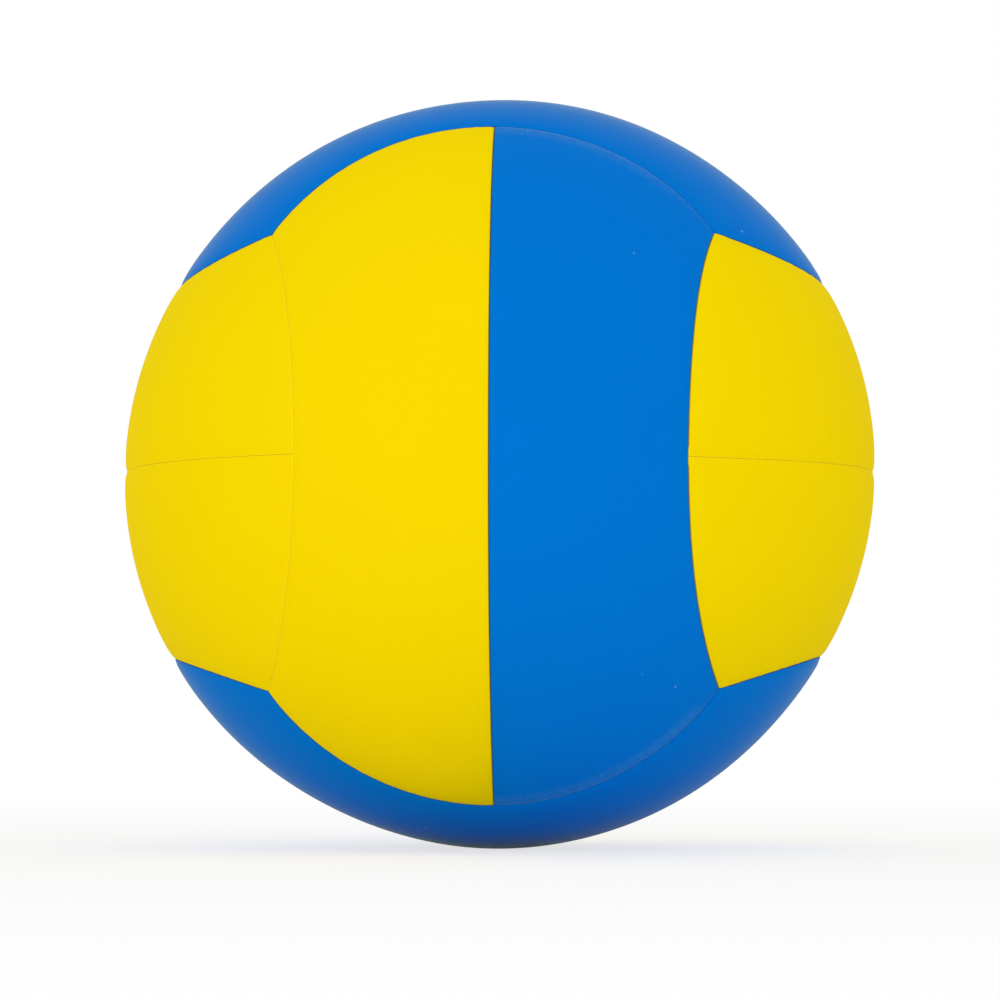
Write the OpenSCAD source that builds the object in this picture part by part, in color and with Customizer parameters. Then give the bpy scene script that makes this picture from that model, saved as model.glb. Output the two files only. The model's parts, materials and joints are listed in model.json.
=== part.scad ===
// A volleyball: twelve foam cover panels, each laminated to a cloth lining, sewn inside out
// over a rubber bladder with its valve. The origin is the ball's centre, -Y is the front,
// +X the right side and +Z the top.
//
// The ball is laid out as a cube blown up to a sphere. Each of the six faces is two panels,
// with a middle seam between them, and the middle seams of neighbouring faces lie across
// each other. Every seam is an arc: the middle seams lie in planes through the centre, and
// the twelve seams between faces on cones with their tips there. All panels are the same.

/* [Ball] */
// Diameter of the inflated ball
ball_d = 210; // [190:1:230]
// Angle from a face's middle to the middle of its nearer side seam
seam_a = 29.2; // [28:0.2:31]
// Gap between the two turned-in edges of a seam
seam_gap = 0.2; // [0.1:0.05:0.4]

/* [Foam cover] */
// Thickness of the foam
foam_t = 3.5; // [3:0.1:5]
// Radius of the rolled edge beside a seam
roll_r = 2.2; // [1.8:0.1:2.6]
// Radius of the swelling beside a seam, across it
swell_r = 50; // [40:1:60]
// Width of the swelling on each side of a seam
swell_w = 8; // [6:0.5:10]
// Thickness of the foam where a seam pinches it
pinch_t = 1.6; // [1.2:0.1:2]
// Depth of the turned-in edges below the foam's inner face
turn_in = 3; // [2.8:0.1:4]

/* [Lining and thread] */
// Thickness of the lining cloth
lining_t = 0.5; // [0.3:0.05:0.7]
// Diameter of the sewing thread
thread_d = 0.7; // [0.4:0.05:0.9]

/* [Bladder] */
// Thickness of the bladder's wall
bladder_t = 1; // [0.6:0.1:2]
// Diameter of the patch that balances the valve
balance_d = 34; // [24:1:40]
// Thickness of that patch
balance_t = 1.6; // [1:0.1:1.8]

/* [Valve] */
// Diameter of the valve hole in the cover
valve_hole_d = 10.4; // [9.6:0.1:14]
// Depth of the bevel that eases the outer edge of that hole
hole_ease = 0.8; // [0.4:0.1:1.2]
// Depth of the valve's top below the ball's surface
valve_sink = 0.7; // [0.4:0.1:1.2]
// Gap round the valve seat in that hole
hole_gap = 0.2; // [0.1:0.05:0.4]
// Diameter of the flange that holds the valve seat to the bladder
flange_d = 28; // [22:1:32]
// Diameter of the valve seat's stem inside the bladder
stem_d = 9; // [8.4:0.1:9.4]
// Length of that stem, from the bladder's inner face
stem_len = 9; // [8:0.5:12]
// Diameter of the cloth patch that backs the valve hole
patch_d = 36; // [30:1:40]
// Thickness of the cloth patch
patch_t = 0.5; // [0.3:0.05:0.7]

/* [Valve core] */
// Diameter of the core's head
core_head_d = 7.2; // [6.6:0.1:7.6]
// Thickness of the core's head
core_head_t = 1.2; // [0.8:0.1:1.6]
// Diameter of the core's neck
core_neck_d = 5; // [4.4:0.1:5.4]
// Diameter of the bulb that keeps the core in
core_bulb_d = 6.4; // [5.8:0.1:6.8]
// Length of the bulb
core_bulb_len = 2.4; // [2:0.1:3]
// Length of the core
core_len = 14; // [13:0.5:16]
// Diameter of the needle hole
needle_d = 2; // [1.6:0.1:2.4]
// Length of the needle hole
needle_len = 9; // [7:0.5:10]
// Diameter of the dimple that leads the needle in
dimple_d = 3.4; // [3:0.1:4]
// Depth of the dimple
dimple_h = 0.9; // [0.6:0.1:1.2]

/* [Hidden] */
// Clearance between layers that touch, and round the core
layer_gap = 0.05;
// How far a cut runs past what it cuts
over = 5;
// The same as an angle, past the panel's seams
over_a = 5;
// Angle at which the swelling meets the ball's sphere
swell_a = 4;
// Angles at which the rolled edge meets the swelling and the turned-in edge
roll_top_a = 10;
roll_side_a = 20;
$fn = 144;

FRONT = [0, -1, 0];
BACK = [0, 1, 0];
LEFT = [-1, 0, 0];
RIGHT = [1, 0, 0];
TOP = [0, 0, 1];
BOTTOM = [0, 0, -1];
YELLOW = "gold";
BLUE = "dodgerblue";

// A panel's name, the face that it covers half of, which half, and its colour
PANELS = [
  ["front_left", FRONT, LEFT, YELLOW],
  ["front_right", FRONT, RIGHT, BLUE],
  ["back_left", BACK, LEFT, BLUE],
  ["back_right", BACK, RIGHT, YELLOW],
  ["left_upper", LEFT, TOP, YELLOW],
  ["left_lower", LEFT, BOTTOM, YELLOW],
  ["right_upper", RIGHT, TOP, YELLOW],
  ["right_lower", RIGHT, BOTTOM, YELLOW],
  ["top_front", TOP, FRONT, BLUE],
  ["top_back", TOP, BACK, BLUE],
  ["bottom_front", BOTTOM, FRONT, BLUE],
  ["bottom_back", BOTTOM, BACK, BLUE]
];
VALVE_PANEL = PANELS[3];

// A middle seam's name, its face, and a half of that face
MIDDLE_SEAMS = [
  ["front_middle", FRONT, LEFT],
  ["back_middle", BACK, LEFT],
  ["left_middle", LEFT, TOP],
  ["right_middle", RIGHT, TOP],
  ["top_middle", TOP, FRONT],
  ["bottom_middle", BOTTOM, FRONT]
];

// An edge seam's name, the face whose middle seam ends on it, and the other face
EDGE_SEAMS = [
  ["front_top", FRONT, TOP],
  ["front_bottom", FRONT, BOTTOM],
  ["back_top", BACK, TOP],
  ["back_bottom", BACK, BOTTOM],
  ["left_front", LEFT, FRONT],
  ["left_back", LEFT, BACK],
  ["right_front", RIGHT, FRONT],
  ["right_back", RIGHT, BACK],
  ["top_left", TOP, LEFT],
  ["top_right", TOP, RIGHT],
  ["bottom_left", BOTTOM, LEFT],
  ["bottom_right", BOTTOM, RIGHT]
];

// The other three seams of the panel on the upper half of the right face: the face whose
// middle seam ends there, the other face, and whether the panel is inside the seam's cone
SIDE_SEAMS = [
  [TOP, RIGHT, false],
  [RIGHT, FRONT, true],
  [RIGHT, BACK, true]
];

// Radii of the layers, from the outside in
ball_r = ball_d / 2;
foam_in_r = ball_r - foam_t;
lining_out_r = foam_in_r - layer_gap;
lining_in_r = lining_out_r - lining_t;
tip_r = foam_in_r - turn_in;
bladder_out_r = tip_r - layer_gap;
bladder_in_r = bladder_out_r - bladder_t;

// Distances of the layers from the seam's surface, from the seam inwards
foam_side = seam_gap / 2;
pinch_side = foam_side + pinch_t;
lining_side = pinch_side + layer_gap;
lining_in_side = lining_side + lining_t;
thread_side = lining_in_side + layer_gap + thread_d / 2;
thread_r = (tip_r + lining_in_r) / 2;

// An edge seam is the circle through two corners of the cube and the middle of the seam.
// Its axis leans from the face whose middle seam ends on it towards the other face.
corner = 1 / sqrt(3);
lean_a = atan((corner - sin(seam_a)) / (cos(seam_a) - corner));
cone_a = acos(corner * (cos(lean_a) + sin(lean_a)));
// How far the seam runs round its axis on each side of its middle
edge_run_a = atan2(1, cos(lean_a) - sin(lean_a));
// How far a middle seam runs from its face's middle
middle_run_a = 90 - seam_a;
// Angle of a cube corner above the plane of the middle seam
corner_a = asin(corner);

// Arcs beside a seam, where x is the distance from the seam and y points outwards: the
// swelling, which crosses the ball's sphere, and the rolled edge inside it
swell_from = [swell_w, sqrt(pow(ball_r, 2) - pow(swell_w, 2))];
swell_from_a = asin(swell_w / ball_r) - swell_a;
swell_c = swell_from - swell_r * [sin(swell_from_a), cos(swell_from_a)];
roll_x = foam_side + roll_r * cos(roll_side_a);
roll_reach = sqrt(pow(swell_r, 2) + pow(roll_r, 2) - 2 * swell_r * roll_r * cos(roll_top_a));
roll_c = [roll_x, swell_c.y + sqrt(pow(roll_reach, 2) - pow(roll_x - swell_c.x, 2))];

// The panel's blank reaches this far on each side of the seams that trim it
blank_a = corner_a + over_a;
trim_w = ball_r * sin(blank_a) - ball_r * sin(seam_a) + ball_r * sin(over_a) + over;

// Turns +X to a face and +Z to a half of it
module place(face, half) {
  multmatrix([for (i = [0:2]) [face[i], cross(half, face)[i], half[i], 0]]) children();
}

// Turns +Z to the axis of an edge seam, and +X towards the seam's middle
module about_edge(owner, other) {
  multmatrix([for (i = [0:2]) [
    other[i] * cos(lean_a) - owner[i] * sin(lean_a),
    cross(owner, other)[i],
    owner[i] * cos(lean_a) + other[i] * sin(lean_a),
    0
  ]]) children();
}

// Points drawn outside a seam, or the same points turned over to lie inside it
function facing(inside, points) =
  inside ? [for (i = [len(points) - 1:-1:0]) [-points[i].x, points[i].y]] : points;

// Shapes drawn beside a seam go in the plane that is turned about the seam's axis, where the
// seam is a line outwards from the origin at an angle a to the axis. A panel lies outside
// that angle or inside it.

// What is nearer to the seam than side
module side_trim(a, inside, side) {
  low = tip_r - 2 * over;
  high = ball_r + over;
  rotate(-a) polygon(facing(inside, [[-trim_w, low], [side, low], [side, high], [-trim_w, high]]));
}

// What lies over an arc with centre c and radius r, from the seam to the distance w
module over_arc(a, inside, c, r, w) {
  high = ball_r + over;
  rotate(-a)
    difference() {
      polygon(facing(inside, [[-seam_gap, c.y], c, [w, c.y], [w, high], [-seam_gap, high]]));
      translate(facing(inside, [c])[0]) circle(r);
    }
}

module over_swelling(a, inside) {
  over_arc(a, inside, swell_c, swell_r, swell_w + roll_r);
}

module over_roll(a, inside) {
  over_arc(a, inside, roll_c, roll_r, roll_c.x + roll_r * sin(2 * roll_side_a));
}

// Cuts one profile at a time along the three seams at a panel's sides: side, swelling or roll
module cut_sides(profile, side = foam_side, i = len(SIDE_SEAMS) - 1) {
  seam = SIDE_SEAMS[i];
  difference() {
    if (i > 0)
      cut_sides(profile, side, i - 1) children();
    else
      children();
    about_edge(seam[0], seam[1])
      rotate_extrude(angle = 180, start = -90) {
        if (profile == "side") side_trim(cone_a, seam[2], side);
        if (profile == "swelling") over_swelling(cone_a, seam[2]);
        if (profile == "roll") over_roll(cone_a, seam[2]);
      }
  }
}

// A layer of the panel on the upper half of the right face, kept at side from all its
// seams. Its children are cut from its section across the middle seam.
module layer(out_r, in_r, side) {
  end_a = middle_run_a + over_a;
  reach = ball_r + over;
  cut_sides("side", side)
    rotate_extrude(angle = 2 * end_a, start = -end_a)
      difference() {
        intersection() {
          circle(out_r);
          polygon([[0, side], [reach, side], reach * [1, tan(blank_a)]]);
        }
        circle(in_r);
        children();
      }
}

// The foam's outer layer, with the swelling and the rolled edge along all four seams
module rolled_layer() {
  cut_sides("roll") cut_sides("swelling")
    layer(ball_r, tip_r, foam_side) {
      over_swelling(90, true);
      over_roll(90, true);
    }
}

// Turns +Z to the middle of the panel that holds the valve
module at_valve() {
  place(VALVE_PANEL[1], VALVE_PANEL[2]) rotate([0, 90 - seam_a / 2, 0]) children();
}

// The hole through the cover at the valve, with its outer edge eased
module valve_hole() {
  at_valve() {
    translate([0, 0, tip_r - over]) cylinder(h = ball_r - tip_r + 2 * over, d = valve_hole_d);
    translate([0, 0, ball_r - hole_ease])
      cylinder(h = over, d1 = valve_hole_d, d2 = valve_hole_d + 2 * over);
  }
}

// A cover panel: foam with its edges rolled over and turned in along the seams
module panel(p) {
  color(p[3])
    difference() {
      place(p[1], p[2])
        difference() {
          rolled_layer();
          layer(foam_in_r, tip_r - over, pinch_side);
        }
      if (p == VALVE_PANEL) valve_hole();
    }
}

// A panel's lining: cloth under the foam, turned in with its edges
module lining(p) {
  color("whitesmoke")
    difference() {
      place(p[1], p[2])
        difference() {
          layer(lining_out_r, tip_r, lining_side);
          layer(lining_in_r, tip_r - over, lining_in_side);
        }
      if (p == VALVE_PANEL) valve_hole();
    }
}

// Part of a line of stitches, on one side of a seam
module stitch_run(a, inside, from_a, to_a) {
  rotate_extrude(angle = to_a - from_a, start = from_a)
    rotate(-a) translate(facing(inside, [[thread_side, thread_r]])[0]) circle(d = thread_d);
}

// Angle that keeps a run of stitches clear of a seam that crosses its end
function clear_a(a) = (thread_side + thread_d) / (thread_r * sin(a)) * 180 / PI;

// The stitches of a middle seam, along both turned-in edges
module middle_thread(s) {
  run_a = middle_run_a - clear_a(90);
  color("ivory")
    place(s[1], s[2])
      for (inside = [true, false]) stitch_run(90, inside, -run_a, run_a);
}

// The stitches of an edge seam, which the middle seam divides on one side
module edge_thread(s) {
  gap_a = clear_a(cone_a);
  run_a = edge_run_a - gap_a;
  color("ivory")
    about_edge(s[1], s[2]) {
      stitch_run(cone_a, false, -run_a, run_a);
      stitch_run(cone_a, true, -run_a, -gap_a);
      stitch_run(cone_a, true, gap_a, run_a);
    }
}

// A round patch with the curve of the ball
module round_patch(out_r, t, d, hole_d = 0) {
  intersection() {
    difference() {
      sphere(out_r);
      sphere(out_r - t);
    }
    difference() {
      cylinder(h = ball_r, d = d);
      if (hole_d > 0) translate([0, 0, -over]) cylinder(h = ball_r + 2 * over, d = hole_d);
    }
  }
}

module bladder() {
  color("dimgray")
    difference() {
      sphere(bladder_out_r);
      sphere(bladder_in_r);
      at_valve() cylinder(h = ball_r, d = stem_d + 2 * layer_gap);
    }
}

// Rubber patch on the bladder, opposite the valve
module balance_patch() {
  color("gray")
    at_valve()
      rotate([180, 0, 0]) round_patch(bladder_out_r + layer_gap + balance_t, balance_t, balance_d);
}

// The space that the core fills in its seat
module core_space() {
  top = ball_r - valve_sink;
  neck_r = core_neck_d / 2 + layer_gap;
  head_r = core_head_d / 2 + layer_gap;
  bulb_r = core_bulb_d / 2 + layer_gap;
  head_z = top - core_head_t - layer_gap;
  bulb_z = top - core_len + core_bulb_len + layer_gap;
  rotate_extrude()
    polygon([
      [0, bladder_in_r - stem_len - over], [bulb_r, bladder_in_r - stem_len - over], [bulb_r, bulb_z],
      [neck_r, bulb_z], [neck_r, head_z], [head_r, head_z], [head_r, top + over], [0, top + over]
    ]);
}

// The rubber seat that joins the valve to the bladder
module valve_seat() {
  top = ball_r - valve_sink;
  flange_in_r = bladder_out_r + layer_gap;
  flange_out_r = lining_in_r - 2 * layer_gap - patch_t;
  stem_z = bladder_in_r - stem_len;
  color("dimgray")
    at_valve()
      difference() {
        union() {
          round_patch(flange_out_r, flange_out_r - flange_in_r, flange_d);
          translate([0, 0, flange_in_r]) cylinder(h = top - flange_in_r, d = valve_hole_d - 2 * hole_gap);
          translate([0, 0, stem_z]) cylinder(h = flange_out_r - stem_z, d = stem_d);
        }
        core_space();
      }
}

// The rubber core that closes round the needle
module valve_core() {
  top = ball_r - valve_sink;
  low = top - core_len;
  needle_z = top - dimple_h;
  color("black")
    at_valve()
      rotate_extrude()
        polygon([
          [0, low], [core_neck_d / 2, low], [core_bulb_d / 2, low + core_bulb_len / 2],
          [core_bulb_d / 2, low + core_bulb_len], [core_neck_d / 2, low + core_bulb_len],
          [core_neck_d / 2, top - core_head_t], [core_head_d / 2, top - core_head_t],
          [core_head_d / 2, top], [dimple_d / 2, top], [needle_d / 2, needle_z],
          [needle_d / 2, needle_z - needle_len], [0, needle_z - needle_len]
        ]);
}

// Cloth patch between the lining and the valve seat's flange
module valve_patch() {
  color("beige")
    at_valve() round_patch(lining_in_r - layer_gap, patch_t, patch_d, valve_hole_d);
}

for (p = PANELS) panel(p);
for (p = PANELS) lining(p);
for (s = MIDDLE_SEAMS) middle_thread(s);
for (s = EDGE_SEAMS) edge_thread(s);
bladder();
balance_patch();
valve_seat();
valve_core();
valve_patch();
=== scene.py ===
# %% [markdown]
# # A volleyball with a soft foam cover
#
# The ball is a cube blown up to a sphere: six faces of two panels each, where the middle
# seams of neighbouring faces lie across each other. Each panel is soft foam on a cloth
# lining. The panels are sewn together inside out, so that from outside a seam shows only
# as a narrow crease between two rolled edges.
#
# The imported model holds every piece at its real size. This file loads it, makes the twelve
# foam panels again as smooth surfaces with their creases, puckers and slight unevenness,
# and gives every piece its finish.

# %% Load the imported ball
import json
import math

import bpy
import numpy as np
from mathutils import Matrix, Vector


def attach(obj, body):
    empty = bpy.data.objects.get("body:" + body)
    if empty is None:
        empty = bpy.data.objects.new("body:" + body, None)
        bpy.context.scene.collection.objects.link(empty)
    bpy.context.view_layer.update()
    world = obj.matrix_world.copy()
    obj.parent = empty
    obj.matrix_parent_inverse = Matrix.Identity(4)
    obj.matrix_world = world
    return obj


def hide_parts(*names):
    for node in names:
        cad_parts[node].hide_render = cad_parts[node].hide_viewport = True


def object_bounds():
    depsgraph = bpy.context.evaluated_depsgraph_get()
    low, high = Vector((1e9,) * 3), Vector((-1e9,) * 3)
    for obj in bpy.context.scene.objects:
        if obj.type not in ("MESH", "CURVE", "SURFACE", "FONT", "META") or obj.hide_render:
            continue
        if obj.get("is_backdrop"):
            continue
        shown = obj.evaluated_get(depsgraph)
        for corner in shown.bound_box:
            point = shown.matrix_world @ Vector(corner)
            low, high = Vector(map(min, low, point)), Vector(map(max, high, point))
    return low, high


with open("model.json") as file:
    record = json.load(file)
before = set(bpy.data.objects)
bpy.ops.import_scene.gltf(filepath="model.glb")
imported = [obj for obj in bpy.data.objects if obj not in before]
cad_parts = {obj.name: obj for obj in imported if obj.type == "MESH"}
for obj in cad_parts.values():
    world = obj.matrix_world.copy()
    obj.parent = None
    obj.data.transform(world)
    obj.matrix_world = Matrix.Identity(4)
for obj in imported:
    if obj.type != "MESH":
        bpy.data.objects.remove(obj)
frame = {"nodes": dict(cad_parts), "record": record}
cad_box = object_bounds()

low, high = cad_box
print("The packed ball measures", [round(1000 * (b - a), 1) for a, b in zip(low, high)], "mm")

# %% [markdown]
# ## The sizes
#
# The lengths are millimetres on the real ball. They are turned into metres once, when a
# mesh is made. A seam is where two panels meet: each panel's edge rolls over, goes straight
# down, and ends inside the ball in a turned-in lip that the stitches go through.
#
# The ball, the foam, the lip and the valve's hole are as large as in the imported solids. The
# crease is finer than there: on the real ball the foam rolls over within a quarter of a
# millimetre, and the cover dips towards the seam in a wide slope with a steeper edge.

# %% Sizes of the cover, in millimetres
MM = 0.001
BALL_R = 105.0
SEAM_A = math.radians(29.2)
FOAM_T = 3.5
TURN_IN = 3.0
PINCH_T = 1.6
LIP_DROP = TURN_IN + FOAM_T
HALF_GAP = 0.02
ROLL_R = 0.25
SWELL_W = 9.0
SWELL_DIP = 0.35
EDGE_W = 3.0
EDGE_DIP = 0.35
HOLE_R = 5.2
HOLE_EASE = 0.8
print("The ball is", round(2 * math.pi * BALL_R / 10, 1), "cm round")

# %% [markdown]
# ## Where the seams lie
#
# One panel is enough, because all twelve are the same. The pattern panel is the upper half
# of the right face, so +X points out through the face and +Z to the panel's half. Its
# middle seam lies in the plane z = 0. The other three lie on cones whose tips are at the
# ball's centre: one above, and one at each end.
#
# Both cone angles follow from the cube: each such seam is the circle through two corners of
# the cube and the point where the neighbour's middle seam ends. Square to each cone's axis,
# a level direction points to the middle of the seam.

# %% The seams as cones
CORNER = 1 / math.sqrt(3)
LEAN = math.atan((CORNER - math.sin(SEAM_A)) / (math.cos(SEAM_A) - CORNER))
CONE = math.acos(CORNER * (math.cos(LEAN) + math.sin(LEAN)))
MIDDLE_RUN = math.pi / 2 - SEAM_A
TOP_AXIS = np.array([math.sin(LEAN), 0, math.cos(LEAN)])
TOP_LEVEL = np.array([math.cos(LEAN), 0, -math.sin(LEAN)])
END_AXIS = np.array([math.cos(LEAN), -math.sin(LEAN), 0])
END_LEVEL = np.array([-math.sin(LEAN), -math.cos(LEAN), 0])
print("A seam's cone opens", round(math.degrees(CONE), 2), "degrees from its axis,",
      "which leans", round(math.degrees(LEAN), 2), "degrees")

# %% [markdown]
# ## The section across a seam
#
# A section is a short list of points that run from the tip of the turned-in lip up to the
# surface, over the rolled edge and out over the slight swelling beside the seam, where the
# thread pulls the cover in. Each point is a distance from the seam and a drop below the
# ball's surface. Points lie close together on the roll, which catches the light, and far
# apart on the lip, which nobody sees.

# %% Sections of the outside and of the inside
LIP_DROPS = [LIP_DROP, 4.6, 3.0, 1.9]
WALL_POINTS = len(LIP_DROPS)
ROLL_POINTS = 10
SWELL_POINTS = 14
OUTER_CROWDING = 1.5
INNER_CROWDING = 1.2


def smooth(x):
    """0 below 0, 1 above 1 and 3x^2 - 2x^3 between, with no kink."""
    x = np.clip(x, 0, 1)
    return x * x * (3 - 2 * x)


def outer_section():
    """Distance x from the seam and drop below the surface, from the lip's tip outwards.

    The lip is straight at x = half the gap. The roll is a quarter circle of radius r: it
    adds r - r*sin(t) to the drop at x = half the gap + r - r*cos(t). The swelling, and the
    steeper edge next to the seam, each add dip * (1 - x/width) squared, which meets the
    surface beyond without a kink."""
    t = np.linspace(0, math.pi / 2, ROLL_POINTS)
    roll_x = HALF_GAP + ROLL_R * (1 - np.cos(t))
    share = np.linspace(0, 1, SWELL_POINTS + 1)[1:] ** OUTER_CROWDING
    swell_x = roll_x[-1] + (SWELL_W - roll_x[-1]) * share
    x = np.concatenate([np.full(WALL_POINTS, HALF_GAP), roll_x, swell_x])
    drop = SWELL_DIP * (1 - x / SWELL_W) ** 2 + EDGE_DIP * np.clip(1 - x / EDGE_W, 0, 1) ** 2
    drop[WALL_POINTS:WALL_POINTS + ROLL_POINTS] += ROLL_R * (1 - np.sin(t))
    drop[:WALL_POINTS] = LIP_DROPS
    return x, drop


def inner_section():
    """The same number of points on the inside: up the lip's inner wall, then outwards."""
    wall_x, wall = PINCH_T + HALF_GAP, np.linspace(LIP_DROP, FOAM_T, WALL_POINTS)
    share = np.linspace(0, 1, ROLL_POINTS + SWELL_POINTS + 1) ** INNER_CROWDING
    x = wall_x + (SWELL_W - wall_x) * share
    return (np.concatenate([np.full(WALL_POINTS - 1, wall_x), x]),
            np.concatenate([wall, np.full(len(share) - 1, FOAM_T)]))


RIM = len(outer_section()[0])
print("A section has", RIM, "points")

# %% [markdown]
# ## A grid that follows all four seams
#
# A panel has four curved sides, and a plain grid stretched over it would cut its rolled
# edges at a slant. Here each grid line is where a plane cuts the sphere. Beside a seam the
# planes stay parallel to it, at the section's distances, so the rolled edge is even all
# along. Further in they turn smoothly into the lines of the opposite side. A grid point
# lies on two planes and on the sphere, which one formula solves for the whole grid.

# %% Where two families of planes meet on the sphere
ACROSS = 100
ALONG = 30
CORNER_POWER = 4


def meet(m1, k1, m2, k2):
    """Unit vectors d with d.m1 = k1 and d.m2 = k2, on the side that m1 x m2 points to.

    d is the point of both planes nearest to the centre, a*m1 + b*m2, plus what is left of
    the length 1 along their common line m1 x m2."""
    aa, ab, bb = (m1 * m1).sum(-1), (m1 * m2).sum(-1), (m2 * m2).sum(-1)
    det = aa * bb - ab * ab
    a, b = (k1 * bb - k2 * ab) / det, (k2 * aa - k1 * ab) / det
    near = a[..., None] * m1 + b[..., None] * m2
    left = np.sqrt((1 - (near * near).sum(-1)) / det)
    return near + left[..., None] * np.cross(m1, m2)


def unit(v):
    """v over its length."""
    return v / np.linalg.norm(v, axis=-1, keepdims=True)


def columns(rim_a):
    """Planes m.d = k of the columns from the rim to the panel's middle.

    Each goes through a point b of the middle seam and a point t of the top seam, evenly
    spread along both. It is turned about the line from b to t by an angle that falls from
    that of the end seam's own plane, at the rim, to nothing in the middle."""
    share = np.linspace(0, 1, ACROSS + 1)[:, None]
    azimuth = -(MIDDLE_RUN - rim_a) * (1 - share)
    b = np.concatenate([np.cos(azimuth), np.sin(azimuth), 0 * azimuth], -1)
    corner = meet(END_AXIS, np.cos(CONE - rim_a), TOP_AXIS, math.cos(CONE))
    azimuth = math.atan2(corner[1], corner @ TOP_LEVEL) * (1 - share)
    round_top = np.cos(azimuth) * TOP_LEVEL + np.sin(azimuth) * np.array([0, 1, 0])
    t = math.cos(CONE) * TOP_AXIS + math.sin(CONE) * round_top
    flat, tilted = unit(np.cross(t, b)), unit(b + t)
    turn = math.atan2(END_AXIS @ tilted[0], END_AXIS @ flat[0]) * (1 - smooth(share))
    m = np.cos(turn) * flat + np.sin(turn) * tilted
    return m[1:], (m * b).sum(-1)[1:]


def panel_grid(section):
    """Directions and drops of one skin of the pattern panel, from end to end and from the
    middle seam upwards. The second half mirrors the first.

    Where the drops a and b of two seams meet in a corner, both make (a^4 + b^4)^(1/4)."""
    x, drop = section
    rim_a = SWELL_W / BALL_R
    up = np.linspace(rim_a, SEAM_A - rim_a, ALONG + 1)[1:-1]
    from_middle = np.sin(up) - math.sin(rim_a)
    from_top = math.cos(CONE + rim_a) - np.sin(up + LEAN)
    v = np.concatenate([np.zeros(RIM), from_middle / (from_middle + from_top), np.ones(RIM)])
    rise = np.concatenate([x, np.full(ALONG - 1, SWELL_W), x[::-1]])
    drop_2 = np.concatenate([drop, np.full(ALONG - 1, drop[-1]), drop[::-1]])
    drop_1 = np.concatenate([drop, np.full(ACROSS, drop[-1])])

    base = drop[-1]
    powers = (drop_1[:, None] - base) ** CORNER_POWER + (drop_2[None] - base) ** CORNER_POWER
    both = np.minimum(base + powers ** (1 / CORNER_POWER), drop[0])
    r = BALL_R - both

    m, k = columns(rim_a)
    m1 = np.concatenate([np.tile(END_AXIS, (RIM, 1)), m])[:, None]
    k1 = np.concatenate([np.cos(CONE - np.arcsin(x[:, None] / r[:RIM])),
                         np.repeat(k[:, None], r.shape[1], 1)])
    angle = np.arcsin(rise / r)
    m2 = (1 - v)[:, None] * np.array([0, 0, 1]) + v[:, None] * TOP_AXIS
    k2 = (1 - v) * np.sin(angle) + v * np.cos(CONE + angle)
    d = meet(np.broadcast_to(m1, r.shape + (3,)), k1, np.broadcast_to(m2, r.shape + (3,)), k2)
    return (np.concatenate([d, d[-2::-1] * np.array([1, -1, 1])]),
            np.concatenate([both, both[-2::-1]]))


skin_d = panel_grid(outer_section())[0]
print("A panel's outer skin is a grid of", skin_d.shape[0], "by", skin_d.shape[1], "points")

# %% [markdown]
# ## Where each point lies beside its seams
#
# The puckers and the finish's painted shade and painted sheen all follow the seams.
# So every point gets its distance from each side of its panel, and its place along it.

# %% Distances from the sides and places along them
def side_distances(d):
    """Distances in mm along the sphere from the middle seam, the top seam and both ends.

    The angle to a seam is the angle to its cone's axis less the cone's own."""
    ends = [CONE - np.arccos(np.clip(d @ (END_AXIS * [1, s, 1]), -1, 1)) for s in (1, -1)]
    top = np.arccos(np.clip(d @ TOP_AXIS, -1, 1)) - CONE
    half = d[..., 1] > 0
    first = np.where(half, np.inf, ends[0])
    last = np.where(half, ends[1], np.inf)
    return BALL_R * np.stack([np.arcsin(d[..., 2]), top, first, last], -1)


def places_along(d):
    """Places in mm along the middle seam, the top seam and both ends.

    Each is the angle round the seam's axis times the radius of the seam's circle."""
    circle_r = BALL_R * math.sin(CONE)
    middle = BALL_R * np.arctan2(d[..., 1], d[..., 0])
    top = circle_r * np.arctan2(d[..., 1], d @ TOP_LEVEL)
    ends = [circle_r * np.arctan2(d[..., 2], d @ (END_LEVEL * [1, s, 1])) for s in (1, -1)]
    return np.stack([middle, top, *ends], -1)


away = side_distances(skin_d)
print("The panel's middle is", round(float(away[..., :2].min(-1).max()), 1), "mm from a seam")

# %% [markdown]
# ## What makes it soft
#
# A real cover isn't a perfect sphere. The air presses it into long, low waves, and where
# the thread pulls the foam in, the edge puckers into short ribs that lie across the seam
# and die out after a few millimetres. Both are sums of sine waves with chosen lengths, and
# a numbered seed makes them the same each time. The waves depend only on the direction
# from the centre, so neighbouring panels rise and fall together.
#
# The photographed ball also isn't laid out quite evenly. Seen from the front its outline
# has two, three and four very low bulges, its cover is drawn a little towards the poles,
# and in five places a seam or a corner lies a millimetre or two aside.

# %% Waves and puckers
WAVE_SEED, WAVE_COUNT, WAVE_HEIGHT = 7, 16, 0.085
WAVE_TURNS = (3.2, 9)
PUCKER_COUNT, PUCKER_HEIGHT = 14, 0.02
PUCKER_LENGTHS = (2.6, 9)
PUCKER_START, PUCKER_W = 1.0, 2.6
OUTLINE = {2: (0.02, 0.24), 3: (-0.10, 0.15), 4: (0.17, 0.09)}
DRAWN_UP = 0.022
PULL_W = 0.36
PULLS = [((0.30, -0.42, 0.86), (0.0, -5.0)), ((0.62, -0.50, 0.60), (-2.5, -0.4)),
         ((0.60, -0.55, -0.58), (1.7, -1.0)), ((0.55, -0.83, 0.0), (1.0, -0.6)),
         ((-0.50, -0.45, -0.74), (-0.8, -1.0))]


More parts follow.
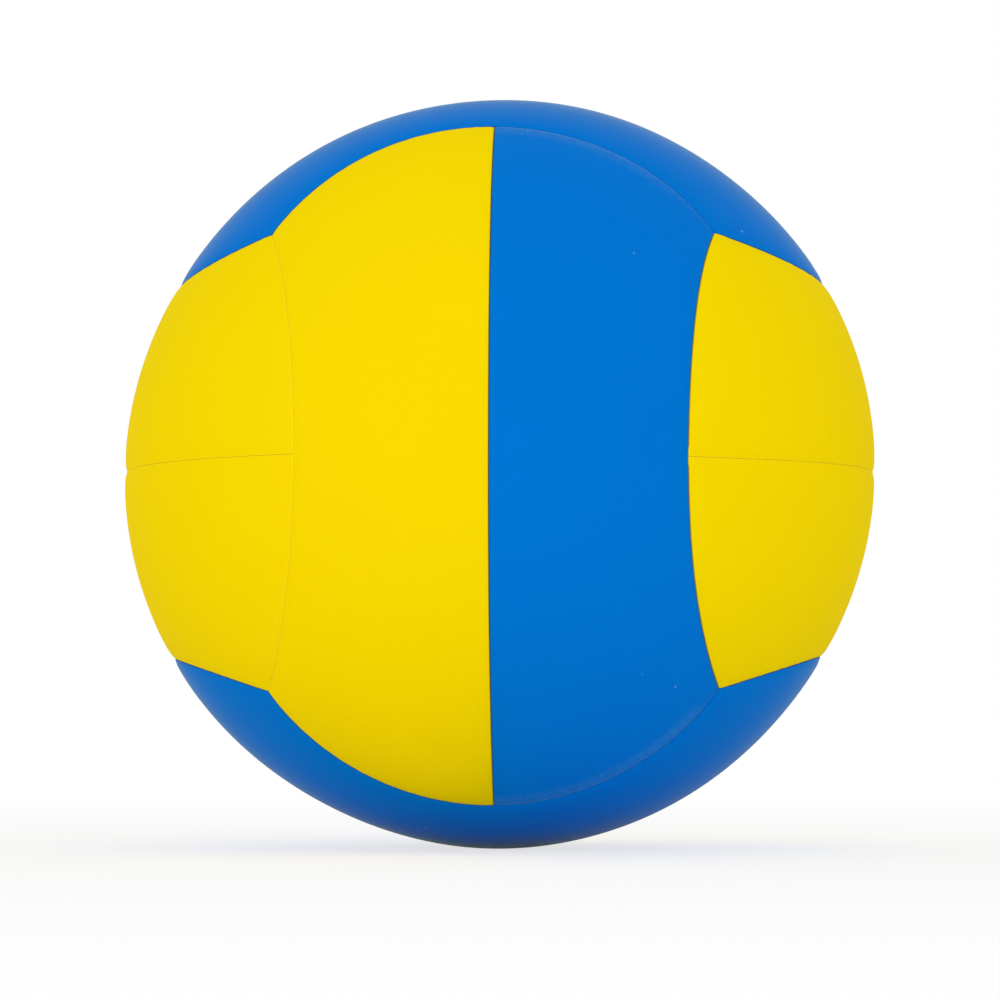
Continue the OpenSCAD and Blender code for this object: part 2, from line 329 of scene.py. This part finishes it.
def waves(d):
    """Height in mm of the cover's slow unevenness in the directions d.

    It is a sum of plane waves cos(k.d + phase), 70 to 200 mm long on the surface, and of
    the outline's bulges a*cos(n*t) + b*sin(n*t), which fade out towards front and back."""
    random = np.random.default_rng(WAVE_SEED)
    k = random.normal(size=(WAVE_COUNT, 3))
    k *= (random.uniform(*WAVE_TURNS, WAVE_COUNT) / np.linalg.norm(k, axis=1))[:, None]
    phase = random.uniform(0, 2 * math.pi, WAVE_COUNT)
    around = d[..., 0] + 1j * d[..., 2]
    bulges = sum((complex(a, -b) * around ** n).real for n, (a, b) in OUTLINE.items())
    return bulges + WAVE_HEIGHT * np.cos(d @ k.T + phase).sum(-1)


def drawn(d, share):
    """The directions d as the real cover has them, by a share of the full amount.

    All are drawn towards the poles, and round the centre c of each pull they move by that
    pull's x and z, in mm, times exp(-(|d - c|/width)^2)."""
    moved = DRAWN_UP * d * [0, 0, 1]
    for centre, (x, z) in PULLS:
        fall = np.exp(-((d - unit(np.array(centre))) ** 2).sum(-1) / PULL_W ** 2)
        moved = moved + fall[..., None] * np.array([x, 0, z]) / BALL_R
    return unit(d + share[..., None] * moved)


def puckers(along, away_from, seed):
    """Height in mm of the ribs across one seam, at the place along it and distance from it.

    It is a sum of sines of several lengths, times exp(-((distance - start)/width)^2)."""
    random = np.random.default_rng(seed)
    lengths = random.uniform(*PUCKER_LENGTHS, PUCKER_COUNT)
    phase = random.uniform(0, 2 * math.pi, PUCKER_COUNT)
    rib = np.sin(along[..., None] * 2 * math.pi / lengths + phase).sum(-1)
    fall = np.exp(-(np.maximum(away_from - PUCKER_START, 0) / PUCKER_W) ** 2)
    return PUCKER_HEIGHT * rib / math.sqrt(PUCKER_COUNT / 2) * fall


sample = waves(skin_d)
print("The waves reach", [round(float(h), 2) for h in (sample.min(), sample.max())], "mm")

# %% [markdown]
# ## From a grid to a closed shell
#
# The foam is a shell with an outside, an inside and a lip all round. Both skins have the
# same number of points, so a strip of faces round the rim closes them. The panel that
# holds the valve also has a hole: a block of faces is left out in its middle, the points
# round it are drawn onto a circle, and rings of faces go down through the foam. The
# alternative, cutting the hole with a boolean, would leave slivers round its edge that
# shade badly.

# %% Faces of the skins, the rim and the hole
HOLE_I, HOLE_J = 6, 5
HOLE_REACH = 2.9
RING_COUNT = 5
VALVE_A = SEAM_A / 2
VALVE_OUT = np.array([math.cos(VALVE_A), 0, math.sin(VALVE_A)])
VALVE_UP = np.array([-math.sin(VALVE_A), 0, math.cos(VALVE_A)])


def skin_faces(index, hole=None):
    """Four corners of each cell of a grid of point numbers, facing outwards."""
    cells = np.stack([index[:-1, :-1], index[1:, :-1], index[1:, 1:], index[:-1, 1:]], -1)
    keep = np.ones(cells.shape[:2], bool)
    if hole:
        keep[hole[0] - HOLE_I:hole[0] + HOLE_I, hole[1] - HOLE_J:hole[1] + HOLE_J] = False
    return cells[keep]


def rim_loop(index):
    """The grid's outer edge, once round, in the order that its faces use."""
    return np.concatenate([index[:-1, 0], index[-1, :-1], index[:0:-1, -1], index[0, :0:-1]])


def hole_loop(index, i, j):
    """The edge of the block left out round cell corner i, j, in the faces' order."""
    block = index[i - HOLE_I:i + HOLE_I + 1, j - HOLE_J:j + HOLE_J + 1]
    return np.concatenate([block[:0:-1, 0], block[0, :-1], block[:-1, -1], block[-1, :0:-1]])


def strip(first, second):
    """Faces between two closed loops of the same length."""
    a, b = np.roll(first, -1), np.roll(second, -1)
    return np.stack([a, first, second, b], -1)


def round_hole(d, r, centre, radius):
    """Draws the grid lines round the valve onto circles.

    q is 1 on the edge of the block and grows outwards. A point goes to the distance
    radius * q from the valve's axis where q is 1, and stays where it was from q = reach."""
    i = (np.arange(d.shape[0]) - centre[0])[:, None] / HOLE_I + np.zeros(d.shape[1])
    j = (np.arange(d.shape[1]) - centre[1])[None] / HOLE_J + np.zeros(d.shape[0])[:, None]
    q = np.maximum(np.abs(i), np.abs(j))
    length = np.maximum(np.hypot(i, j), 1e-9)
    pull = 1 - smooth((q - 1) / (HOLE_REACH - 1))
    a = (1 - pull) * d[..., 1] * r + pull * radius * q * i / length
    b = (1 - pull) * (d @ VALVE_UP) * r + pull * radius * q * j / length
    out = np.sqrt(r * r - a * a - b * b)
    turned = (out[..., None] * VALVE_OUT + b[..., None] * VALVE_UP) / r[..., None]
    turned[..., 1] = a / r
    return np.where((q < HOLE_REACH)[..., None], turned, d)


def hole_rings(around):
    """Directions and drops of the rings from the outer skin down to the inner one: a quarter
    circle of the easing radius, then straight down. around holds unit vectors (a, b)."""
    t = np.linspace(0, math.pi / 2, RING_COUNT + 1)[1:]
    rings_r = np.concatenate([HOLE_R + HOLE_EASE * (1 - np.sin(t)), [HOLE_R]])
    rings_drop = np.concatenate([HOLE_EASE * (1 - np.cos(t)), [FOAM_T / 2]])
    share = rings_r / (BALL_R - rings_drop)
    a, b = share[:, None] * around[None, :, 0], share[:, None] * around[None, :, 1]
    out = np.sqrt(1 - a * a - b * b)
    d = out[..., None] * VALVE_OUT + b[..., None] * VALVE_UP
    d[..., 1] = a
    return d, np.repeat(rings_drop[:, None], len(around), 1)


def panel_shell(with_hole):
    """Directions, drops and faces of a whole foam panel, as flat arrays."""
    parts_d, parts_drop, faces, count = [], [], [], 0
    rims, holes = [], []
    for inside, section in enumerate((outer_section(), inner_section())):
        d, drop = panel_grid(section)
        centre = (d.shape[0] // 2, d.shape[1] // 2)
        if with_hole:
            d = round_hole(d, BALL_R - drop, centre, HOLE_R if inside else HOLE_R + HOLE_EASE)
        index = count + np.arange(d.shape[0] * d.shape[1]).reshape(d.shape[:2])
        cells = skin_faces(index, centre if with_hole else None)
        faces.append(cells[:, ::-1] if inside else cells)
        rims.append(rim_loop(index))
        if with_hole:
            holes.append(hole_loop(index, *centre))
        parts_d.append(d.reshape(-1, 3))
        parts_drop.append(drop.ravel())
        count += index.size
    faces.append(strip(*rims))
    if with_hole:
        edge = np.concatenate(parts_d)[holes[0]]
        around = np.stack([edge[:, 1], edge @ VALVE_UP], -1)
        around /= np.linalg.norm(around, axis=1, keepdims=True)
        ring_d, ring_drop = hole_rings(around)
        ring_index = count + np.arange(ring_drop.size).reshape(ring_drop.shape)
        loops = [holes[0], *ring_index, holes[1]]
        faces += [strip(a, b) for a, b in zip(loops[:-1], loops[1:])]
        parts_d.append(ring_d.reshape(-1, 3))
        parts_drop.append(ring_drop.ravel())
    d, drop, faces = np.concatenate(parts_d), np.concatenate(parts_drop), np.concatenate(faces)
    used = np.unique(faces)
    number = np.zeros(len(d), int)
    number[used] = np.arange(len(used))
    return d[used], drop[used], number[faces]


PLAIN_SHELL = panel_shell(False)
VALVE_SHELL = panel_shell(True)
print("A plain panel has", len(PLAIN_SHELL[2]), "faces, the valve's panel", len(VALVE_SHELL[2]))

# %% [markdown]
# ## The twelve places
#
# A panel's place is its face and the half of the face that it covers. Turning the pattern
# panel there needs no angles: +X goes to the face, +Z to the half, and +Y to what is
# square to both. The same table says which panels are yellow and which are blue.

# %% Table of the panels
FRONT, BACK = (0, -1, 0), (0, 1, 0)
LEFT, RIGHT = (-1, 0, 0), (1, 0, 0)
TOP, BOTTOM = (0, 0, 1), (0, 0, -1)
PANELS = {
    "front_left": (FRONT, LEFT, "yellow"), "front_right": (FRONT, RIGHT, "blue"),
    "back_left": (BACK, LEFT, "blue"), "back_right": (BACK, RIGHT, "yellow"),
    "left_upper": (LEFT, TOP, "yellow"), "left_lower": (LEFT, BOTTOM, "yellow"),
    "right_upper": (RIGHT, TOP, "yellow"), "right_lower": (RIGHT, BOTTOM, "yellow"),
    "top_front": (TOP, FRONT, "blue"), "top_back": (TOP, BACK, "blue"),
    "bottom_front": (BOTTOM, FRONT, "blue"), "bottom_back": (BOTTOM, BACK, "blue"),
}
COLOURS = {(face, half): colour for face, half, colour in PANELS.values()}
VALVE_PANEL = "back_right"


def turned_to(face, half):
    """Matrix whose columns are the face, what is square to both, and the half."""
    return np.stack([face, np.cross(half, face), half], -1).astype(float)


def neighbours(face, half):
    """Colours across the middle seam, both halves of the top seam and both ends."""
    third = tuple(int(c) for c in np.cross(half, face))
    back = tuple(-c for c in third)
    other = tuple(-c for c in half)
    places = [(face, other), (half, back), (half, third), (back, face), (third, face)]
    return [COLOURS[place] for place in places]


print("Front left borders on", neighbours(FRONT, LEFT))

# %% [markdown]
# ## Making the panels
#
# Each panel is the pattern shell turned to its place. Its points are pushed out by the
# waves and the puckers, less and less towards the lip, so the lips stay where the
# stitches are. A few numbers go with every point for the finish: its drop below the
# surface, its distance from the nearest seam, its place along that seam, how close a panel
# of the same colour is, and how much of a paler band of painted sheen shows, which it does
# at the panel's ends.

# %% The foam panels
FIXED_LIP = 2.0
SAME_W = 6.0
CORNER_FADE = 14.0


def near_same(away_from, d, colour, around):
    """For each side, 1 beside a seam to a panel of the same colour, falling off with the
    distance as exp(-(distance/width)^2), and 0 beside other colours."""
    middle, top_first, top_last, first, last = (float(c == colour) for c in around)
    top = np.where(d[:, 1] < 0, top_first, top_last)
    flags = np.stack([np.full(len(d), middle), top, np.full(len(d), first), np.full(len(d), last)], -1)
    return flags * np.exp(-(away_from / SAME_W) ** 2)


def foam_mesh(name, points, faces, numbers):
    """A smooth mesh whose points carry the numbers, one attribute for each title."""
    mesh = bpy.data.meshes.new("foam_" + name)
    mesh.from_pydata(points, [], faces)
    mesh.polygons.foreach_set("use_smooth", np.ones(len(faces), bool))
    for title, values in numbers.items():
        stored = mesh.attributes.new(title, "FLOAT", "POINT")
        stored.data.foreach_set("value", values.astype(np.float32))
    return mesh


def make_panel(name, number):
    """One foam panel as a mesh object, at its place."""
    face, half, colour = PANELS[name]
    d, drop, faces = VALVE_SHELL if name == VALVE_PANEL else PLAIN_SHELL
    away_from = side_distances(d)
    lift = np.clip(1 - (drop - FIXED_LIP) / (LIP_DROP - FIXED_LIP), 0, 1)
    world = drawn(d @ turned_to(face, half).T, lift)
    along = places_along(d)
    rise = waves(world)
    for side in range(4):
        rise = rise + puckers(along[:, side], away_from[:, side], 10 * number + side)
    points = world * (BALL_R - drop + lift * rise)[:, None] * MM

    nearest = away_from.argmin(-1)[:, None]
    near = near_same(away_from, d, colour, neighbours(face, half))
    mesh = foam_mesh(name, points, faces, {
        "drop": drop,
        "seam": away_from.min(-1),
        "along": np.take_along_axis(along, nearest, -1)[:, 0],
        "same": near.max(-1),
        # How much of a paler band of painted sheen shows beside the panel's ends.
        "sheen_band": near[:, 2:].max(-1) * smooth(away_from[:, 1] / CORNER_FADE),
    })
    piece = bpy.data.objects.new("foam_" + name, mesh)
    bpy.context.scene.collection.objects.link(piece)
    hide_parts("panel_" + name)
    colour + "_foam"
    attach(piece, "root")
    return piece


foam = {name: make_panel(name, number) for number, name in enumerate(PANELS)}
print(len(foam), "panels with", sum(len(p.data.polygons) for p in foam.values()), "faces in all")

# %% [markdown]
# ## Writing a finish as a sum
#
# A finish is a graph of shader nodes, which is long to write and hard to read. Two small
# classes make it read like arithmetic. A value wraps one socket, and a sum of values adds
# the Math nodes for it. Any other node comes from one method that takes the node's type,
# its settings and what goes into its sockets.

# %% Shader maths as expressions
class Value:
    """One output socket of a node. a + b, a - b, a * b and their like add a Math node."""

    def __init__(self, graph, socket):
        self.graph, self.socket = graph, socket

    def _math(self, operation, first, second=0.0, clamp=False):
        settings = {"operation": operation, "use_clamp": clamp}
        return self.graph.node("ShaderNodeMath", settings, {0: first, 1: second})

    def __add__(self, other):
        return self._math("ADD", self, other)

    def __sub__(self, other):
        return self._math("SUBTRACT", self, other)

    def __rsub__(self, other):
        return self._math("SUBTRACT", other, self)

    def __mul__(self, other):
        return self._math("MULTIPLY", self, other)

    __radd__ = __add__
    __rmul__ = __mul__

    def sine(self):
        """The sine of the value in radians."""
        return self._math("SINE", self)

    def largest(self, other):
        """The larger of two values."""
        return self._math("MAXIMUM", self, other)

    def clamped(self):
        """The value, held between 0 and 1."""
        return self._math("ADD", self, 0.0, True)

    def step(self, start, end):
        """0 at start, 1 at end, with no kink at either."""
        return self.graph.node("ShaderNodeMapRange", {"interpolation_type": "SMOOTHSTEP"},
                               {"Value": self, "From Min": start, "From Max": end})

    def output(self, name):
        """Another output of the node that this value comes from."""
        return Value(self.graph, self.socket.node.outputs[name])


class Graph:
    """The shader nodes of a material or of the world."""

    def __init__(self, owner):
        self.owner = owner
        owner.use_nodes = True
        self.tree = owner.node_tree
        self.tree.nodes.clear()

    def node(self, kind, settings=None, inputs=None, output=0):
        """Adds a node: its settings first, then the values or links of its sockets."""
        made = self.tree.nodes.new(kind)
        for name, value in (settings or {}).items():
            setattr(made, name, value)
        for name, value in (inputs or {}).items():
            self.put(made.inputs[name], value)
        return Value(self, made.outputs[output]) if made.outputs else made

    def put(self, socket, value):
        """Links a value to a socket, or sets a number or colour on it."""
        if isinstance(value, Value):
            self.tree.links.new(value.socket, socket)
        elif isinstance(value, tuple) and len(value) == 3 and socket.type == "RGBA":
            socket.default_value = (*value, 1)
        else:
            socket.default_value = value

    def place(self):
        """Object coordinates in metres."""
        return self.node("ShaderNodeTexCoord", output="Object")

    def noise(self, scale, detail=2.0, place=None):
        """Cloudy noise whose lumps are about 1/scale metres across."""
        return self.node("ShaderNodeTexNoise", None, {
            "Vector": place or self.place(), "Scale": scale, "Detail": detail}, "Fac")

    def mix(self, factor, first, second):
        """The first colour where factor is 0 and the second where it is 1."""
        inputs = {0: factor, 6: first, 7: second}
        return self.node("ShaderNodeMix", {"data_type": "RGBA"}, inputs, 2)

    def attribute(self, name):
        """A number that the piece's points carry."""
        return self.node("ShaderNodeAttribute", {"attribute_name": name}, None, "Fac")

    def bump(self, height, distance, strength=1.0, below=None):
        """A bumpy normal from a height between 0 and 1 that stands for distance metres."""
        inputs = {"Height": height, "Distance": distance, "Strength": strength}
        if below:
            inputs["Normal"] = below
        return self.node("ShaderNodeBump", None, inputs)

    def close(self, kind, shader):
        """Links the shader to the graph's output."""
        self.node(kind, None, {"Surface": shader})
        print(self.owner.name, "has", len(self.tree.nodes), "nodes")

    def surface(self, **sockets):
        """Closes the graph with a Principled shader. Names use _ for a space."""
        inputs = {name.replace("_", " "): value for name, value in sockets.items()}
        self.close("ShaderNodeOutputMaterial", self.node("ShaderNodeBsdfPrincipled", None, inputs))
        return self.owner


# %% [markdown]
# ## The foam's finish
#
# The cover is matte foam with its colour all through and a very fine grain. The colour
# hardly varies. Seen at a slant the blue turns greyer, as a dusty bloom makes it, which is
# the shader's sheen with a dull tint.
#
# A crease between yellow and blue gets a dark painted shade, and so does the turned-in
# lip deep in every seam. Between two panels of one colour the crease gets another tone:
# painted light on yellow, which lifts its shade, and painted shade on blue, a thin darker
# line. Where the end of a blue panel meets blue, a paler band of painted sheen comes and
# goes beside the seam, with short streaks of painted sheen across it, and both fade out
# before the corners. A few specks of dust lie on the blue.

# %% Yellow and blue foam
GRAIN_SCALE, GRAIN_DEPTH = 2600, 0.00007
DIMPLE_SCALE, DIMPLE_DEPTH = 420, 0.00006
CLOUD_SCALE, SHEEN_PATCH_SCALE = 28, 9
SPECK_SCALE, SPECK_PATCH_SCALE = 95, 31
SPECK_COLOUR = (0.5, 0.62, 0.75)
# Scales of the painted sheen's streaks and of the patches where its band shows.
STREAK_SCALE, STREAK_STRETCH = 1.3, 0.16
CREASE_START, CREASE_END = 0.02, 0.4
LIP_START, LIP_END = 3.0, 4.5
# How strongly painted shade darkens a crease between yellow and blue.
PAINTED_SHADE_SHARE = 0.75


def sheen_band_share(f, seam):
    """How much painted sheen shows: a band beside the seam, and streaks across it."""
    sheen_band = f.attribute("sheen_band")
    across = {"X": f.attribute("along"), "Y": seam * STREAK_STRETCH}
    sheen_streaks = f.noise(STREAK_SCALE, 3.0, f.node("ShaderNodeCombineXYZ", None, across))
    sheen_patches = 1 - f.noise(SHEEN_PATCH_SCALE, 1.0).step(0.42, 0.56)
    band = sheen_band.step(0.25, 0.6) * sheen_patches * (0.09 + 0.1 * sheen_streaks.step(0.4, 0.6))
    return band + sheen_band.step(0.1, 0.4) * sheen_streaks.step(0.56, 0.7) * 0.12


def specks(f, grain):
    """1 on specks with ragged outlines, which lie in patches, and 0 elsewhere."""
    inputs = {"Vector": f.place(), "Scale": SPECK_SCALE}
    cells = f.node("ShaderNodeTexVoronoi", {"feature": "F1"}, inputs)
    patches = f.noise(SPECK_PATCH_SCALE, 2.0).step(0.54, 0.6)
    return (1 - (cells + 0.15 * grain).step(0.095, 0.12)) * patches


def foam_finish(name, colour, deep, painted_shade, sheen_band, inside, bloom, dust):
    """Matte foam: a colour with a deeper tone, a band of painted sheen at some edges, dust,
    painted shade in creases between colours and on the lips, and a given tone for creases
    between panels of one colour, painted light on yellow and painted shade on blue."""
    f = Graph(bpy.data.materials.new(name))
    seam, grain = f.attribute("seam"), f.noise(GRAIN_SCALE, 3.0)
    tone = f.mix((f.noise(CLOUD_SCALE, 3.0) * 0.5 + grain * 0.3).clamped(), colour, deep)
    # Paler band and streaks beside the seam: painted sheen, standing for light on the rolled edge and
    # its puckers.
    tone = f.mix(sheen_band_share(f, seam), tone, sheen_band)
    tone = f.mix(specks(f, grain) * dust, tone, SPECK_COLOUR)
    crease, alike = 1 - seam.step(CREASE_START, CREASE_END), f.attribute("same").step(0.8, 0.95)
    # The crease between yellow and blue: painted shade, a dark line where shade falls.
    tone = f.mix(crease * (1 - alike) * PAINTED_SHADE_SHARE, tone, painted_shade)
    # A crease between panels of one colour: this tone is painted light on yellow, to lift the crease's
    # shade, and painted shade on blue, a thin darker line.
    tone = f.mix(crease * alike, tone, inside)
    # The turned-in lip, deep down in the seam, gets the same painted shade.
    tone = f.mix(f.attribute("drop").step(LIP_START, LIP_END), tone, painted_shade)
    skin = f.bump(grain, GRAIN_DEPTH, 0.5)
    skin = f.bump(f.noise(DIMPLE_SCALE, 2.0), DIMPLE_DEPTH, 0.35, skin)
    return f.surface(Base_Color=tone, Roughness=(0.72 + 0.1 * grain).clamped(), Normal=skin,
                     Specular_IOR_Level=0.01, Sheen_Weight=bloom, Sheen_Roughness=0.24,
                     Sheen_Tint=(0.29, 0.29, 0.03))


# The crease and lip colour is painted shade. The band colour is painted sheen, paler on blue and
# hardly different on yellow. The one-colour crease tone is painted light on yellow and painted shade
# on blue.
FOAM = {
    "yellow": foam_finish("yellow_foam", colour=(0.95, 0.715, 0.0), deep=(0.91, 0.66, 0.0),
                          painted_shade=(0.15, 0.13, 0.07), sheen_band=(0.93, 0.7, 0.01),
                          inside=(0.97, 0.79, 0.01), bloom=0.05, dust=0.0),
    "blue": foam_finish("blue_foam", colour=(0.0, 0.186, 0.67), deep=(0.0, 0.163, 0.605),
                        painted_shade=(0.03, 0.06, 0.12), sheen_band=(0.09, 0.28, 0.62),
                        inside=(0.0, 0.145, 0.52), bloom=0.8, dust=0.5),
}
for name, piece in foam.items():
    piece.data.materials.append(FOAM[PANELS[name][2]])

# %% [markdown]
# ## What the cover hides
#
# The lining, the thread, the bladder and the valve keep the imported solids, whose shapes are
# right. They still get real finishes: a woven cloth, a twisted thread, and rubber with a
# little dust. A weave is two sets of ridges at right angles, and where one goes over, the
# other goes under.

# %% Cloth, thread and rubber
FUZZ_SCALE, WEAVE_DEPTH = 1800, 0.0001
DUST_SCALE = 60
MOULD_SCALE, MOULD_DEPTH = 700, 0.00005


def cloth_finish(name, colour, shade, pitch):
    """Plain weave: ridges sin(x) and sin(z) whose product says which set lies on top."""
    f = Graph(bpy.data.materials.new(name))
    axes = f.node("ShaderNodeSeparateXYZ", None, {"Vector": f.place()})
    x, y, z = (axes.output(axis) for axis in "XYZ")
    turns = 2 * math.pi / pitch
    over = (((x + y) * turns).sine() * ((z + y * 0.5) * turns).sine() * 0.5 + 0.5).clamped()
    fuzz = f.noise(FUZZ_SCALE, 4.0)
    return f.surface(Base_Color=f.mix((over * 0.6 + fuzz * 0.4).clamped(), shade, colour),
                     Roughness=(0.8 + 0.15 * fuzz).clamped(),
                     Normal=f.bump(over, WEAVE_DEPTH, 0.6), Sheen_Weight=0.2)


def rubber_finish(name, colour, dusty, dullness):
    """Moulded rubber: smooth, with cloudy dust that dulls it."""
    f = Graph(bpy.data.materials.new(name))
    dust = f.noise(DUST_SCALE, 5.0).step(0.4, 0.75)
    return f.surface(Base_Color=f.mix(dust * 0.5, colour, dusty),
                     Roughness=(dullness + 0.25 * dust).clamped(),
                     Normal=f.bump(f.noise(MOULD_SCALE, 3.0), MOULD_DEPTH, 0.4),
                     Specular_IOR_Level=0.4)


CLOTHS = {
    "lining_cloth": {"colour": (0.84, 0.83, 0.8), "shade": (0.62, 0.6, 0.56), "pitch": 0.0011},
    "patch_cloth": {"colour": (0.74, 0.68, 0.55), "shade": (0.5, 0.44, 0.33), "pitch": 0.0009},
    "thread": {"colour": (0.88, 0.85, 0.77), "shade": (0.6, 0.55, 0.46), "pitch": 0.0005},
}
RUBBERS = {
    "bladder_rubber": {"colour": (0.03, 0.03, 0.032), "dusty": (0.16, 0.155, 0.15), "dullness": 0.42},
    "patch_rubber": {"colour": (0.11, 0.11, 0.115), "dusty": (0.24, 0.235, 0.23), "dullness": 0.5},
    "valve_rubber": {"colour": (0.016, 0.016, 0.016), "dusty": (0.09, 0.088, 0.085), "dullness": 0.36},
}
FINISHES = {name: cloth_finish(name, **cloth) for name, cloth in CLOTHS.items()}
FINISHES |= {name: rubber_finish(name, **rubber) for name, rubber in RUBBERS.items()}
SLOTS = {entry["node"]: entry["material_slot"] for entry in frame["record"]["subparts"]}
for name, piece in frame["nodes"].items():
    if SLOTS[name] in FINISHES:
        piece.data.materials.clear()
        piece.data.materials.append(FINISHES[SLOTS[name]])

# %% [markdown]
# ## The floor and the light
#
# The ball lies alone on white, in light so even that it has almost no shadow side. A white
# room does most of that: the world sends the same light from everywhere. A wide soft lamp
# in front, as low as the ball, adds what falls off towards the ball's rim and still reaches
# its lower half. The floor is pale and keeps the ball's shadow. Seen by the camera it fades
# into the white of the world.

# %% Floor, world and lamp
WHITE = (1.0, 1.0, 1.0)
FLOOR_W, FLOOR_COLOUR = 12, (0.96, 0.96, 0.96)
FLOOR_WHITE, FADE_START, FADE_END = 0.72, 0.15, 0.7
ROOM_LIGHT = 0.86


def white_to_camera(graph, shader, white, share):
    """Mixes a shader with a white one by share, for rays that come straight from the
    camera, a mirror or glass."""
    camera_ray = graph.node("ShaderNodeLightPath", output="Is Camera Ray")
    seen = camera_ray.largest(camera_ray.output("Is Glossy Ray"))
    seen = seen.largest(camera_ray.output("Is Transmission Ray"))
    return graph.node("ShaderNodeMixShader", None, {0: seen * share, 1: shader, 2: white})


def make_floor(height):
    """A square floor at a height in metres. From the ball outwards, more and more of what
    the camera sees of it is plain white."""
    mesh = bpy.data.meshes.new("floor")
    corners = FLOOR_W / 2 * np.array([[-1, -1, 0], [1, -1, 0], [1, 1, 0], [-1, 1, 0]])
    mesh.from_pydata(corners + [0, 0, height], [], [(0, 1, 2, 3)])
    floor = bpy.data.objects.new("floor", mesh)
    bpy.context.scene.collection.objects.link(floor)
    f = Graph(bpy.data.materials.new("pale_floor"))
    paint = f.node("ShaderNodeBsdfDiffuse", None, {"Color": FLOOR_COLOUR})
    white = f.node("ShaderNodeEmission")
    distance = f.node("ShaderNodeVectorMath", {"operation": "LENGTH"}, {0: f.place()}, "Value")
    share = FLOOR_WHITE + (1 - FLOOR_WHITE) * distance.step(FADE_START, FADE_END)
    f.close("ShaderNodeOutputMaterial", white_to_camera(f, paint, white, share))
    mesh.materials.append(f.owner)
    floor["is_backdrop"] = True


def make_lamp(name, place, width, height, power):
    """A soft lamp, width by height in metres, that faces the ball."""
    light = bpy.data.lights.new(name, "AREA")
    light.shape, light.size, light.size_y, light.energy = "RECTANGLE", width, height, power
    lamp = bpy.data.objects.new(name, light)
    lamp.location = place
    lamp.rotation_euler = Vector(place).to_track_quat("Z", "Y").to_euler()
    bpy.context.scene.collection.objects.link(lamp)


floor_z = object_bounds()[0].z
make_floor(floor_z)
room = Graph(bpy.data.worlds.new("white_room"))
bpy.context.scene.world = room.owner
light = room.node("ShaderNodeBackground", None, {"Color": WHITE, "Strength": ROOM_LIGHT})
white = room.node("ShaderNodeBackground", None, {"Color": WHITE, "Strength": 1.0})
room.close("ShaderNodeOutputWorld", white_to_camera(room, light, white, 1.0))
make_lamp("front_lamp", place=(-0.25, -1.9, 0.0), width=0.9, height=0.2, power=6.1)
bpy.context.scene.view_settings.view_transform = "Standard"
print("The floor is at", round(1000 * floor_z, 2), "mm")

# %% [markdown]
# ## The camera
#
# The seams of the photographed ball give the camera: it stands a little to the right of
# the front seam and a little below the ball's middle, about a metre away. The ball was
# framed slightly high, which is the lens shift.

# %% Camera
AZIMUTH, ELEVATION, ROLL = math.radians(1.63), math.radians(-3.29), math.radians(0.07)
DISTANCE = 10.84 * BALL_R * MM
lens = bpy.data.cameras.new("camera")
lens.sensor_width = 36
lens.lens = 145.4
lens.shift_x, lens.shift_y = 0.0002, -0.026
lens.clip_start = 0.05
camera = bpy.data.objects.new("camera", lens)
level = math.cos(ELEVATION)
back = Vector((level * math.sin(AZIMUTH), -level * math.cos(AZIMUTH), math.sin(ELEVATION)))
aimed = back.to_track_quat("Z", "Y").to_matrix().to_4x4()
camera.matrix_world = Matrix.Translation(back * DISTANCE) @ aimed @ Matrix.Rotation(ROLL, 4, "Z")
bpy.context.scene.collection.objects.link(camera)
bpy.context.scene.camera = camera
print("The camera is", round(DISTANCE, 2), "m from the ball's middle")

# %% [markdown]
# ## The size, once more
#
# Blender adds looks and never size. Both boxes are measured here, and the finished size is printed.

# %% Measure both boxes and finish
boxes = {"cad": [list(c) for c in cad_box], "visual": [list(c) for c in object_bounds()]}
print("The finished ball measures",
      [round(1000 * (b - a), 1) for a, b in zip(*boxes["visual"])], "mm")
